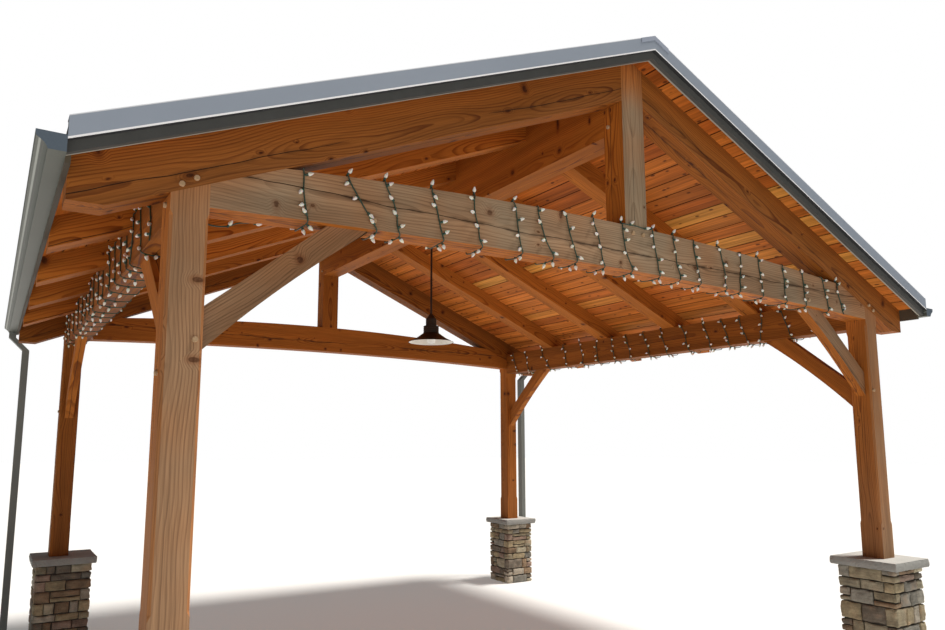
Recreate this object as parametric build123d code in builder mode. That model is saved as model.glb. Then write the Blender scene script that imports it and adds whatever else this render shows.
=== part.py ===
"""Porte cochere: a gabled timber frame on four stone piers, open on all four sides.

X runs along the drive, Y from the open gable end (-Y) to the house (+Y), Z up.
The origin is on the ground in the middle of the plan.  Millimetres.
"""
import os
from math import atan, cos, sqrt

from build123d import *

os.makedirs("parts", exist_ok=True)

# Plan and roof
bay_width = 5500.0      # outer face to outer face of the posts, along the drive
bay_depth = 4930.0      # front face of the front posts to back face of the rear posts
roof_slope = 5 / 12     # rise over run
eave_overhang = 384.0   # outer face of the posts to the plumb cut of the rafter tails
gable_overhang = 202.0  # front face of the posts to the face of the rake trim

# Piers; the drive falls to the rear left corner, so the cap stones stand at four heights
pier_side = {"front_left": 430.0, "front_right": 430.0, "rear_left": 465.0, "rear_right": 400.0}
pier_shift = {"front_left": 0.0, "front_right": 0.0, "rear_left": 42.0, "rear_right": 22.0}  # along X
pier_height = 676.0     # at the lowest corner
pier_rise = {"front_left": 127.0, "front_right": 189.0, "rear_left": 0.0, "rear_right": 67.0}
cap_overhang = 40.0
cap_thickness = 60.0
cap_edge = 6.0          # worn arris of the cap stones

# Timbers
post_side = 160.0
post_chamfer = 13.0
post_stop = 255.0       # plain length left at the foot of a post
chamfer_run = 25.0      # length of the sloping stop that ends a chamfer
post_neck = 30.0        # plain length left below a tie or a plate
plate_bottom_z = 2728.0
plate_depth = 260.0
tie_raise = 68.0        # underside of a tie at the post above the underside of the plates
tie_depth = 282.0       # in the middle
tie_camber = 56.0       # of the underside
tie_top_camber = 125.0
king_width = 188.0
principal_depth = 226.0
tail_depth = 172.0      # rafter tails, square to the slope; the principals are cut level to it
common_depth = 146.0
common_width = 150.0
common_count = 4
ridge_depth = 432.0
ridge_width = 188.0
brace_depth = 145.0
brace_thickness = 72.0
brace_run = 780.0       # post face to the heel of the brace, level
brace_rise = 640.0      # heel of the brace to its foot, plumb
rear_brace_rise = 705.0  # the same for the plate braces at the rear posts
brace_sag = 22.0        # hollow of the brace's lower edge

# Roof covering and edges
deck_thickness = 38.0
sheet_thickness = 5.0
seam_height = 28.0
seam_width = 12.0
seam_count = 15
rake_board_thickness = 38.0
rake_board_drop = 53.0  # square to the slope, below the deck's underside
trim_gap = 25.0         # face of the trim to face of the rake board
trim_sheet = 3.0
trim_face = 86.0        # height of the trim's face, square to the slope
trim_flange = 70.0
fascia_thickness = 19.0
fascia_height = 124.0
ridge_cap_leg = 120.0
ridge_cap_sheet = 3.0
ridge_cap_skirt = 26.0  # turned down over the rake trim at each end of the cap

# Gutters and downspouts
gutter_width = 103.0
gutter_height = 66.0
gutter_base = 61.0
gutter_sheet = 3.0
gutter_drop = 39.0      # top of the gutter below the roof sheet's lower edge
gutter_ogee = ((0, 0), (0.1, 0.15), (0.33, 0.36), (0.67, 0.52), (0.93, 0.64), (1, 0.82))
spout_width = 60.0
spout_depth = 80.0
spout_return = 120.0    # how far the downspout's offset carries it in under the eave
spout_outlet = 50.0     # plumb length between the gutter and the offset
spout_inset = 20.0      # end cap of the gutter to the downspout

# Pendant lamp
canopy_radius = 62.0
canopy_height = 24.0
rod_radius = 9.0
rod_length = 777.0      # canopy to the top of the lamp's body
lamp_height = 258.0     # top of the body to the rim of the shade
shade_radius = 203.0
shade_sheet = 3.0
socket_drop = 140.0     # top of the body to the socket
socket_radius = 48.0
socket_taper = 46.0
socket_height = 110.0
collar_radius = 68.0
bell_height = 84.0
bulb_radius = 42.0
bulb_dip = 18.0         # tip of the bulb below the rim of the shade

# Light strings: places of the turns on the near face, at its top and at its bottom edge
cord_side = 6.0
tie_turns = ((-2180, -2149), (-1955, -1795), (-1756, -1669), (-1486, -1412), (-1218, -1168),
             (-965, -899), (-788, -676), (-595, -502), (-368, -279), (-127, -52), (136, 197),
             (331, 382), (527, 587), (780, 854), (1017, 993), (1207, 1253), (1502, 1537),
             (1737, 1773), (1983, 2060), (2198, 2265))
# On a plate: the turns nearest each rafter, from the rear bent to the front, from the rafter's middle
plate_turns = (((-235, -325), (-478, -577)),
               ((144, -21), (-269, -335)),
               ((399, 320), (101, 71), (-139, -187), (-342, -407)),
               ((349, 263), (115, 33), (-159, -258), (-417, -508)),
               ((327, 232), (117, 28), (-119, -81), (-311, -399)),
               ((400, 315),))

# Worked out from the above
half_width = bay_width / 2
half_depth = bay_depth / 2
inner_face = half_width - post_side
plate_width = post_side
bent_thickness = post_side
pitch = atan(roof_slope)
plate_top_z = plate_bottom_z + plate_depth
tie_end_z = plate_bottom_z + tie_raise
deck_ridge_z = plate_top_z + roof_slope * inner_face + common_depth / cos(pitch)
cap_bottom = {name: pier_height + rise for name, rise in pier_rise.items()}
tail_x = half_width + eave_overhang
fascia_x = tail_x + fascia_thickness
rake_face_y = half_depth + gable_overhang
cap_face_y = rake_face_y + ridge_cap_sheet
board_face_y = rake_face_y - trim_gap
deck_end_y = board_face_y - rake_board_thickness
bent_inner_y = half_depth - bent_thickness
roof_top = deck_thickness + sheet_thickness
seam_top = roof_top + seam_height
sides = {"left": -1, "right": 1}
ends = {"front": -1, "rear": 1}


def slope_z(x, above=0.0):
    """Height of the plane that lies `above` the deck's underside, measured square to the slope."""
    return deck_ridge_z - roof_slope * abs(x) + above / cos(pitch)


def y_plane(y):
    """Upright plane parallel to the gables at y; an extrusion of -n grows n towards the house."""
    return Plane.XZ.offset(-y)


def slope_strip(side, x_from, x_to, low, high, y_from, y_to, mode=Mode.ADD):
    """Bar that follows the slope on one side, with plumb ends, in the part that is open."""
    with BuildSketch(y_plane(y_from)) as face:
        Polygon((side * x_from, slope_z(x_from, low)), (side * x_to, slope_z(x_to, low)),
                (side * x_to, slope_z(x_to, high)), (side * x_from, slope_z(x_from, high)),
                align=None)
    extrude(face.sketch, amount=-(y_to - y_from), mode=mode)


def save(part, label):
    part.part.label = label
    export_step(part.part, f"parts/{label}.step")


# Stone piers and their caps
def corner_points():
    """Name and centre of each post in plan."""
    reach_x = half_width - post_side / 2
    reach_y = half_depth - post_side / 2
    for end, along in ends.items():
        for side, across in sides.items():
            yield f"{end}_{side}", across, along, across * reach_x, along * reach_y


def make_piers():
    for name, _, _, x, y in corner_points():
        with BuildPart() as pier:
            with BuildSketch():
                with Locations((x + pier_shift[name], y)):
                    Rectangle(pier_side[name], pier_side[name])
            extrude(amount=cap_bottom[name])
        save(pier, f"pier_{name}")

    with BuildPart() as caps:
        for name, _, _, x, y in corner_points():
            with BuildSketch(Plane.XY.offset(cap_bottom[name])) as bed:
                side = pier_side[name] + 2 * cap_overhang
                with Locations((x + pier_shift[name], y)):
                    Rectangle(side, side)
            extrude(bed.sketch, amount=cap_thickness)
        tops = [solid.faces().sort_by(Axis.Z)[-1] for solid in caps.solids()]
        chamfer([edge for face in tops for edge in face.edges()], cap_edge)
    save(caps, "pier_caps")


# Posts: long chamfers that stop short of the foot and of the joints above
def stopped_chamfer(x, y, across, along, low, high):
    """Cutter for one arris: full depth between the stops, running out to nothing at each end."""
    corner_x, corner_y = x + across * post_side / 2, y + along * post_side / 2
    sections = []
    for z, size in ((low, 0.01), (low + chamfer_run, post_chamfer),
                    (high - chamfer_run, post_chamfer), (high, 0.01)):
        with BuildSketch(Plane.XY.offset(z)) as section:
            Polygon((corner_x + across, corner_y + along),
                    (corner_x - across * size, corner_y + along),
                    (corner_x - across * size, corner_y),
                    (corner_x, corner_y - along * size),
                    (corner_x + across, corner_y - along * size), align=None)
        sections.append(section.sketch)
    return sections


def make_posts():
    for name, across, along, x, y in corner_points():
        foot = cap_bottom[name] + cap_thickness
        with BuildPart() as post:
            with BuildSketch(y_plane(y - post_side / 2)):
                inner, outer = across * inner_face, across * half_width
                Polygon((inner, foot), (outer, foot),
                         (outer, slope_z(half_width) - principal_depth / cos(pitch)),
                         (inner, slope_z(inner_face) - principal_depth / cos(pitch)), align=None)
            extrude(amount=-post_side)
            for corner_x in (-1, 1):
                for corner_y in (-1, 1):
                    joint_z = tie_end_z if corner_y == along else plate_bottom_z
                    loft(stopped_chamfer(x, y, corner_x, corner_y, foot + post_stop,
                                         joint_z - post_neck), ruled=True, mode=Mode.SUBTRACT)
        save(post, f"post_{name}")


# Ties, king posts and rafters of the two bents
tie_half = inner_face
tie_radius = (tie_half ** 2 + tie_camber ** 2) / (2 * tie_camber)
tie_centre_z = tie_end_z + tie_camber - tie_radius
tie_top_radius = (tie_half ** 2 + tie_top_camber ** 2) / (2 * tie_top_camber)
tie_top_centre_z = tie_end_z + tie_camber + tie_depth - tie_top_radius


def tie_underside(x):
    return tie_centre_z + sqrt(tie_radius ** 2 - x ** 2)


def tie_top(x):
    return tie_top_centre_z + sqrt(tie_top_radius ** 2 - x ** 2)


def bent_y(end):
    """Y of the front of a bent; its outer face is flush with the posts."""
    return -half_depth if end == "front" else bent_inner_y


def make_bents():
    under = -principal_depth
    for end in ends:
        y = bent_y(end)
        with BuildPart() as tie:
            with BuildSketch(y_plane(y)):
                Polygon((-tie_half, tie_end_z - tie_camber), (tie_half, tie_end_z - tie_camber),
                         (tie_half, slope_z(tie_half, under)), (0, slope_z(0, under)),
                         (-tie_half, slope_z(tie_half, under)), align=None)
                with Locations((0, tie_top_centre_z)):
                    Circle(tie_top_radius, mode=Mode.INTERSECT)
                with Locations((0, tie_centre_z)):
                    Circle(tie_radius, mode=Mode.SUBTRACT)
            extrude(amount=-bent_thickness)
        save(tie, f"tie_{end}")

        with BuildPart() as king:
            with BuildSketch(y_plane(y)):
                half = king_width / 2
                Polygon((-half, tie_end_z), (half, tie_end_z), (half, slope_z(half)),
                         (0, slope_z(0)), (-half, slope_z(half)), align=None)
                with Locations((0, tie_top_centre_z)):
                    Circle(tie_top_radius, mode=Mode.SUBTRACT)
            extrude(amount=-bent_thickness)
        save(king, f"king_post_{end}")

        for name, side in sides.items():
            with BuildPart() as rafter:
                slope_strip(side, king_width / 2, tail_x, under, 0, y, y + bent_thickness)
                with BuildSketch(y_plane(y)):
                    level = slope_z(tail_x, -tail_depth)
                    Polygon((side * half_width, level - principal_depth), (side * half_width, level),
                             (side * (tail_x + 10), level),
                             (side * (tail_x + 10), level - principal_depth), align=None)
                extrude(amount=-bent_thickness, mode=Mode.SUBTRACT)
            save(rafter, f"rafter_{end}_{name}")


# Ridge beam, plates and common rafters
def rafter_lines():
    """Middle of the front bent, of each common rafter and of the rear bent."""
    first = -half_depth + bent_thickness / 2
    step = (bay_depth - bent_thickness) / (common_count + 1)
    return [first + step * i for i in range(common_count + 2)]


def plate_bar(side, mode):
    """Plate between its posts, in the part that is open."""
    outer, inner = side * half_width, side * (half_width - plate_width)
    with BuildSketch(y_plane(-bent_inner_y)) as face:
        Polygon((inner, plate_bottom_z), (outer, plate_bottom_z),
                 (outer, plate_top_z), (inner, plate_top_z), align=None)
    extrude(face.sketch, amount=-2 * bent_inner_y, mode=mode)


def make_long_timbers():
    with BuildPart() as ridge:
        with BuildSketch(y_plane(-bent_inner_y)):
            half = ridge_width / 2
            bottom = slope_z(half) - ridge_depth
            Polygon((-half, bottom), (half, bottom), (half, slope_z(half)),
                     (0, slope_z(0)), (-half, slope_z(half)), align=None)
        extrude(amount=-2 * bent_inner_y)
    save(ridge, "ridge_beam")

    with BuildPart() as plates:
        for side in sides.values():
            plate_bar(side, Mode.ADD)
    save(plates, "plates")

    for name, side in sides.items():
        with BuildPart() as commons:
            for y in rafter_lines()[1:-1]:
                slope_strip(side, ridge_width / 2, tail_x, -common_depth, 0,
                            y - common_width / 2, y + common_width / 2)
            plate_bar(side, Mode.SUBTRACT)
        save(commons, f"common_rafters_{name}")


# Knee braces: straight back, lower edge hollowed to a shallow curve
def brace_face(seat, rise):
    """Brace in a plane whose X runs away from the post and whose Y is up; seat(x) is what it meets."""
    length = sqrt(brace_run ** 2 + rise ** 2)
    foot_z = seat(brace_run) - rise
    with BuildLine() as edge:
        sag = (brace_run / 2 - rise / length * brace_sag, foot_z + rise / 2 + brace_run / length * brace_sag)
        ThreePointArc((0, foot_z), sag, (brace_run, foot_z + rise))
        top_x = brace_run - brace_depth * length / rise
        back_z = foot_z + brace_depth * length / brace_run
        Polyline((brace_run, foot_z + rise), (top_x, seat(top_x)), (0, back_z), (0, foot_z))
    make_face(edge.edges())


def make_braces():
    setback = (post_side - brace_thickness) / 2
    for name, side in sides.items():
        with BuildPart() as brace:
            plane = Plane(origin=(side * inner_face, -half_depth + setback, 0),
                          x_dir=(-side, 0, 0), z_dir=(0, side, 0))
            with BuildSketch(plane):
                brace_face(lambda x: tie_underside(inner_face - x), brace_rise)
            extrude(amount=side * brace_thickness)
        save(brace, f"brace_tie_{name}")

        with BuildPart() as pair:
            for along, rise in ((-1, brace_rise), (1, rear_brace_rise)):
                plane = Plane(origin=(side * (half_width - setback), along * (half_depth - post_side), 0),
                              x_dir=(0, -along, 0), z_dir=(-along, 0, 0))
                with BuildSketch(plane) as face:
                    brace_face(lambda x: plate_bottom_z, rise)
                extrude(face.sketch, amount=side * along * brace_thickness)
        save(pair, f"plate_braces_{name}")


# Roof deck, standing seam sheets, ridge cap
def make_roof():
    for name, side in sides.items():
        with BuildPart() as deck:
            slope_strip(side, 0, tail_x, 0, deck_thickness, -deck_end_y, deck_end_y)
        save(deck, f"deck_{name}")

        with BuildPart() as sheet:
            slope_strip(side, 0, fascia_x, deck_thickness, roof_top, -board_face_y, board_face_y)
            step = (2 * board_face_y - seam_width) / (seam_count - 1)
            for i in range(seam_count):
                y = -board_face_y + step * i
                slope_strip(side, 0, fascia_x, roof_top, seam_top, y, y + seam_width)
        save(sheet, f"roof_sheet_{name}")

    cap_top = seam_top + ridge_cap_sheet
    with BuildPart() as cap:
        for side in sides.values():
            slope_strip(side, 0, ridge_cap_leg, seam_top, cap_top, -cap_face_y, cap_face_y)
            for along in ends.values():
                skirt = sorted((along * rake_face_y, along * cap_face_y))
                slope_strip(side, 0, ridge_cap_leg, cap_top - ridge_cap_skirt, cap_top, *skirt)
    save(cap, "ridge_cap")


# Rake boards with their metal trim, eave fascias
def make_edges():
    hem = seam_top + trim_sheet - trim_face
    for name, side in sides.items():
        with BuildPart() as boards:
            for along in ends.values():
                board = sorted((along * deck_end_y, along * board_face_y))
                slope_strip(side, 0, fascia_x, -rake_board_drop, deck_thickness, *board)
        save(boards, f"rake_boards_{name}")

        with BuildPart() as trims:
            for along in ends.values():
                skin = sorted((along * rake_face_y, along * (rake_face_y - trim_sheet)))
                gap = sorted((along * rake_face_y, along * board_face_y))
                flange = sorted((along * rake_face_y, along * (rake_face_y - trim_flange)))
                slope_strip(side, 0, fascia_x, hem, seam_top, *skin)
                slope_strip(side, 0, fascia_x, hem, hem + trim_sheet, *gap)
                slope_strip(side, ridge_cap_leg, fascia_x, seam_top, seam_top + trim_sheet, *flange)
        save(trims, f"rake_trims_{name}")

    top = slope_z(fascia_x, deck_thickness)
    with BuildPart() as fascias:
        for side in sides.values():
            with BuildSketch(y_plane(-deck_end_y)):
                Polygon((side * tail_x, top - fascia_height), (side * fascia_x, top - fascia_height),
                        (side * fascia_x, top), (side * tail_x, slope_z(tail_x, deck_thickness)),
                        align=None)
            extrude(amount=-2 * deck_end_y)
    save(fascias, "eave_fascias")


# Gutters: ogee front, open top, closed ends
def gutter_profile(side, inset):
    """Outline of the gutter, or of its inside when inset by the sheet; open at the top."""
    top = slope_z(fascia_x, deck_thickness) - gutter_drop
    low = top - gutter_height + inset
    base = fascia_x + gutter_base - inset
    swell = gutter_width - gutter_base
    front = [(side * (base + swell * out), low + gutter_height * up) for out, up in gutter_ogee]
    Polygon((side * (fascia_x + inset), top), (side * (fascia_x + inset), low), *front,
            (side * (base + swell), top), align=None)


def make_gutters():
    for name, side in sides.items():
        with BuildPart() as gutter:
            with BuildSketch(y_plane(-rake_face_y)):
                gutter_profile(side, 0)
            extrude(amount=-2 * rake_face_y)
            with BuildSketch(y_plane(-rake_face_y + gutter_sheet)):
                gutter_profile(side, gutter_sheet)
            extrude(amount=-2 * (rake_face_y - gutter_sheet), mode=Mode.SUBTRACT)
        save(gutter, f"gutter_{name}")


def make_downspouts():
    """Outlet, offset back in under the eave, and a straight pipe to the ground, on each side."""
    outlet_z = slope_z(fascia_x, deck_thickness) - gutter_drop - gutter_height
    offset_z = outlet_z - spout_outlet
    pipe_z = offset_z - spout_return
    y = rake_face_y - gutter_sheet - spout_inset - spout_depth / 2
    with BuildPart() as spouts:
        for side in sides.values():
            x_top = side * (fascia_x + gutter_base / 2)
            x_low = x_top - side * spout_return
            for upper, lower in (((x_top, outlet_z), (x_top, offset_z)),
                                 ((x_top, offset_z), (x_low, pipe_z)),
                                 ((x_low, pipe_z), (x_low, 0))):
                sections = []
                for x, z in (upper, lower):
                    with BuildSketch(Plane.XY.offset(z)) as section:
                        with Locations((x, y)):
                            Rectangle(spout_width, spout_depth)
                    sections.append(section.sketch)
                loft(sections, ruled=True)
    save(spouts, "downspouts")


# Pendant barn lamp under the middle of the ridge beam
def make_pendant():
    beam_z = slope_z(ridge_width / 2) - ridge_depth
    body_z = beam_z - canopy_height - rod_length
    rim_z = body_z - lamp_height
    with BuildPart() as rod:
        with BuildSketch(Plane.XY.offset(beam_z - canopy_height)):
            Circle(canopy_radius)
        extrude(amount=canopy_height)
        with BuildSketch(Plane.XY.offset(body_z)):
            Circle(rod_radius)
        extrude(amount=rod_length)
    save(rod, "pendant_rod")

    bell = [(collar_radius, rim_z + bell_height), (136, rim_z + 35), (shade_radius, rim_z)]
    with BuildPart() as shade:
        with BuildSketch(Plane.XZ):
            Polygon((0, body_z), (rod_radius + 4, body_z), (socket_radius, body_z - socket_taper),
                    (socket_radius, body_z - socket_height), (collar_radius, body_z - socket_height - 2),
                    *bell, *[(x - shade_sheet, z - 1) for x, z in reversed(bell[:-1])],
                    (collar_radius - shade_sheet, body_z - socket_drop), (0, body_z - socket_drop),
                    align=None)
        revolve(axis=Axis.Z)
    save(shade, "pendant_shade")

    centre_z = rim_z - bulb_dip + bulb_radius
    with BuildPart() as bulb:
        with BuildSketch(Plane.XZ):
            Polygon((0, centre_z - bulb_radius), (bulb_radius * 0.7, centre_z - bulb_radius * 0.75),
                    (bulb_radius, centre_z), (14, body_z - socket_drop), (0, body_z - socket_drop),
                    align=None)
        revolve(axis=Axis.Z)
    save(bulb, "pendant_bulb")


# Light strings wound round the front tie and the plates
def wound_cord(level, towards, near, depth, turns, under, over):
    """Square cord lying on a timber `depth` thick; level(d) is the upright plane of a near face at d."""
    half = cord_side / 2
    clear = 0.001       # keeps a straight crossing off the curved top of a tie

    def runs(ends_of_runs, at):
        with BuildSketch(level(at)) as faces:
            for top, low in ends_of_runs:
                Polygon((low - half, under(low) - cord_side), (low + half, under(low) - cord_side),
                        (low + half, under(low)), (top + half, over(top)),
                        (top + half, over(top) + cord_side), (top - half, over(top) + cord_side),
                        (top - half, over(top)), (low - half, under(low)), align=None)
        extrude(faces.sketch, amount=cord_side, dir=towards)

    def crossings(places, surface, rise):
        with BuildSketch(level(near)) as faces:
            for place in places:
                a, b = place - half, place + half
                low_a, low_b = surface(a) + clear * rise, surface(b) + clear * rise
                Polygon((a, low_a), (b, low_b), (b, surface(b) + rise), (a, surface(a) + rise),
                        align=None)
        extrude(faces.sketch, amount=depth, dir=towards)

    runs(turns, near - cord_side)
    runs([(top, low) for (_, low), (top, _) in zip(turns, turns[1:])], near + depth)
    crossings([low for _, low in turns[:-1]], under, -cord_side)
    crossings([top for top, _ in turns[1:]], over, cord_side)


def make_light_strings():
    with BuildPart() as string:
        wound_cord(y_plane, (0, 1, 0), -half_depth, bent_thickness, tie_turns, tie_underside, tie_top)
    save(string, "light_string_tie")

    turns = [(line + top, line + low)
             for line, near_line in zip(reversed(rafter_lines()), plate_turns) for top, low in near_line]
    for name, near in (("left", -half_width), ("right", inner_face)):
        with BuildPart() as string:
            wound_cord(Plane.YZ.offset, (1, 0, 0), near, plate_width, turns,
                       lambda y: plate_bottom_z, lambda y: plate_top_z)
        save(string, f"light_string_{name}")


make_piers()
make_posts()
make_bents()
make_long_timbers()
make_braces()
make_roof()
make_edges()
make_gutters()
make_downspouts()
make_pendant()
make_light_strings()
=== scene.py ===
"""Looks of the porte cochere: boards, stones, pegs, bulbs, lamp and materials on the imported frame.

Metres, in the part's own frame: X along the drive, Y towards the house, Z up.
"""
import random
from math import atan, cos, pi, sin, sqrt

import bmesh
import bpy
from mathutils import Euler, Matrix, Vector, noise


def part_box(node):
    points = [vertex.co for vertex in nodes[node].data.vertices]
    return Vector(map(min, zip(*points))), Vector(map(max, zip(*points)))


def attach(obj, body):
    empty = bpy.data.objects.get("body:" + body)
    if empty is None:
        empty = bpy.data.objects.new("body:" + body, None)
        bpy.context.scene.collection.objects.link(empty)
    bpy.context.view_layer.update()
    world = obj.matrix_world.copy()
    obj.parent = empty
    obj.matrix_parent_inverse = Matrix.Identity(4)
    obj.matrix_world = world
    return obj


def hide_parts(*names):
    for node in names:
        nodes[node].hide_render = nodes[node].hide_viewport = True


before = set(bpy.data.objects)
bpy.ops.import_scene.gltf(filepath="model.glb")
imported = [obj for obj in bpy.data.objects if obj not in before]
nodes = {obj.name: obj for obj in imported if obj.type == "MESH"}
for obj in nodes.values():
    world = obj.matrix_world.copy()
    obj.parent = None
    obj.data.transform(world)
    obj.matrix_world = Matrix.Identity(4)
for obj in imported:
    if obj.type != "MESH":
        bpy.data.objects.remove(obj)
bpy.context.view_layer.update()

# Photograph: camera place, aim and lens, fitted to its edges
photo_width = 945
focal_pixels = 721.8
centre_offset = (-28.7, 28.3)
camera_place = (-3.321, -5.513, 1.811)
camera_turn = 0.5600
camera_rise = 0.1353
camera_roll = 0.0031

# Sizes, read from the frame or named here
roof_slope = 5 / 12
pitch = atan(roof_slope)
deck_thickness = 0.038
(_, _, plate_low), (half_width, _, plate_high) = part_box("plates")
post_low, post_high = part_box("post_rear_left")
half_depth, post_side = post_high[1], post_high[0] - post_low[0]
inner_face = half_width - post_side
deck_low, deck_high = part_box("deck_right")
ridge_z = deck_high[2] - deck_thickness / cos(pitch)
rafter_gaps = 5
rafter_step = (2 * half_depth - post_side) / rafter_gaps
rafter_lines = [-half_depth + post_side / 2 + rafter_step * i for i in range(rafter_gaps + 1)]
ends = {"front": -1, "rear": 1}
sides = {"left": -1, "right": 1}
corners = [f"{end}_{side}" for end in ends for side in sides]


def slope_z(x, above=0.0):
    """Height of the plane that lies above the deck's underside, measured square to the slope."""
    return ridge_z - roof_slope * abs(x) + above / cos(pitch)


# Mesh helpers
def add_object(name, data):
    made = bpy.data.objects.new(name, data)
    bpy.context.scene.collection.objects.link(made)
    return made


def new_piece(name, mesh, material):
    piece = add_object(name, mesh)
    mesh.materials.append(material)
    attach(piece, "root")
    return piece


def finish_mesh(name, build):
    """Mesh from a bmesh, its faces outward."""
    mesh = bpy.data.meshes.new(name)
    bmesh.ops.recalc_face_normals(build, faces=build.faces)
    build.to_mesh(mesh)
    build.free()
    return mesh


def finish_piece(name, build, material):
    return new_piece(name, finish_mesh(name, build), material)


def paint(faces, layer, tone, alpha=1.0):
    for face in faces:
        for loop in face.loops:
            loop[layer] = (*tone, alpha)


def prism(build, rings):
    """Closed solid from rings of equal length, one after the other; returns its faces."""
    loops = [[build.verts.new(point) for point in ring] for ring in rings]
    faces = [build.faces.new(loops[0]), build.faces.new(reversed(loops[-1]))]
    for low, high in zip(loops, loops[1:]):
        for i in range(len(low)):
            j = (i + 1) % len(low)
            faces.append(build.faces.new((low[j], low[i], high[i], high[j])))
    return faces


def box_grid(build, counts):
    """Closed box from -1 to 1, cut into `counts` cells; returns its vertices and faces."""
    verts = {}

    def vert(key):
        if key not in verts:
            verts[key] = build.verts.new([2 * k / n - 1 for k, n in zip(key, counts)])
        return verts[key]

    faces = []
    for axis in range(3):
        a, b = (axis + 1) % 3, (axis + 2) % 3
        for level in (0, counts[axis]):
            for i in range(counts[a]):
                for j in range(counts[b]):
                    ring = []
                    for di, dj in ((0, 0), (1, 0), (1, 1), (0, 1)):
                        key = [0, 0, 0]
                        key[axis], key[a], key[b] = level, i + di, j + dj
                        ring.append(vert(tuple(key)))
                    faces.append(build.faces.new(ring if level else ring[::-1]))
    return list(verts.values()), faces


def round_rings(centre, axis, sections, count):
    """Rings of `count` points round an axis, for (distance along, radius) sections."""
    axis = Vector(axis).normalized()
    across = axis.orthogonal().normalized()
    beside = axis.cross(across)
    angles = [2 * pi * i / count for i in range(count)]
    return [[Vector(centre) + axis * along + (across * cos(angle) + beside * sin(angle)) * radius
             for angle in angles] for along, radius in sections]


def lathe(build, profile, count):
    """Open strip turned round the Z axis, for (radius, height) points."""
    loops = [[build.verts.new((r * cos(2 * pi * i / count), r * sin(2 * pi * i / count), z))
              for i in range(count)] for r, z in profile]
    for low, high in zip(loops, loops[1:]):
        for i in range(count):
            j = (i + 1) % count
            build.faces.new((low[i], low[j], high[j], high[i]))


# Shader helpers
class Nodes:
    """Adds shader nodes to a tree; each value is a constant or a socket."""

    def __init__(self, tree):
        self.tree = tree

    def plug(self, made, inputs):
        for key, value in inputs.items():
            if isinstance(value, bpy.types.NodeSocket):
                self.tree.links.new(value, made.inputs[key])
            else:
                made.inputs[key].default_value = value

    def node(self, kind, inputs=None, **settings):
        made = self.tree.nodes.new(f"ShaderNode{kind}")
        for key, value in settings.items():
            setattr(made, key, value)
        self.plug(made, inputs or {})
        return made

    def calc(self, operation, a, b=0.0, c=0.0):
        return self.node("Math", {0: a, 1: b, 2: c}, operation=operation).outputs[0]

    def product(self, value, *factors):
        for factor in factors:
            value = self.calc("MULTIPLY", value, factor)
        return value

    def vector(self, operation, a, b=(0, 0, 0)):
        made = self.node("VectorMath", {0: a, 1: b}, operation=operation)
        return made.outputs["Value" if operation == "LENGTH" else "Vector"]

    def scaled(self, vector, scale):
        return self.vector("MULTIPLY", vector, scale)

    def combined(self, x=0.0, y=0.0, z=0.0):
        return self.node("CombineXYZ", {0: x, 1: y, 2: z}).outputs[0]

    def xyz(self, vector):
        return self.node("SeparateXYZ", {0: vector}).outputs

    def rgb(self, colour):
        return self.node("SeparateColor", {0: colour}).outputs

    def place(self):
        return self.node("TexCoord").outputs["Object"]

    def normal(self):
        return self.xyz(self.node("NewGeometry").outputs["Normal"])

    def fade(self, value, low, high, to_low=0.0, to_high=1.0):
        """Smooth step from `to_low` at `low` to `to_high` at `high`."""
        inputs = {0: value, 1: low, 2: high, 3: to_low, 4: to_high}
        return self.node("MapRange", inputs, interpolation_type="SMOOTHSTEP").outputs[0]

    def mix(self, factor, a, b, blend="MIX"):
        """Mix of two colours, each a socket or three numbers; a constant factor is a float."""
        made = self.node("Mix", data_type="RGBA", blend_type=blend)
        for key, value in ((0, factor), (6, a), (7, b)):
            ready = isinstance(value, (float, bpy.types.NodeSocket))
            self.plug(made, {key: value if ready else (*value, 1.0)})
        return made.outputs[2]

    def shaded(self, colour, value):
        """The colour times a grey value."""
        grey = self.node("CombineColor", {0: value, 1: value, 2: value}).outputs[0]
        return self.mix(1.0, colour, grey, "MULTIPLY")

    def noise(self, vector, scale, detail=2.0, roughness=0.5, output=0):
        """Noise as a value, or as a colour with `output` 1; `scale` may be one per axis."""
        if isinstance(scale, tuple):
            vector, scale = self.scaled(vector, scale), 1.0
        inputs = {"Vector": vector, "Scale": scale, "Detail": detail, "Roughness": roughness}
        return self.node("TexNoise", inputs).outputs[output]

    def cells(self, vector, **settings):
        return self.node("TexVoronoi", {"Vector": vector, "Scale": 1.0}, **settings).outputs


class Look(Nodes):
    """A material's nodes."""

    def __init__(self, name):
        self.material = bpy.data.materials.new(name)
        self.material.use_nodes = True
        super().__init__(self.material.node_tree)

    def finish(self, colour, roughness, height=None, distance=0.0, strength=1.0, shine=0.5,
               **more):
        """Sets the surface and its relief, `more` naming further inputs; returns the material."""
        inputs = {"Base Color": colour, "Roughness": roughness, "Specular IOR Level": shine}
        inputs.update((key.replace("_", " "), value) for key, value in more.items())
        if height is not None:
            inputs["Normal"] = self.node("Bump", {
                "Height": height, "Distance": distance, "Strength": strength}).outputs[0]
        self.plug(self.tree.nodes["Principled BSDF"], inputs)
        return self.material


def mottled(name, grain, dark, light, roughness, distance=0.0):
    """Material of two colours by one noise, which makes its relief too."""
    look = Look(name)
    cloud = look.noise(look.place(), *grain)
    return look.finish(look.mix(cloud, dark, light), roughness, cloud if distance else None,
                       distance)


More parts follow.
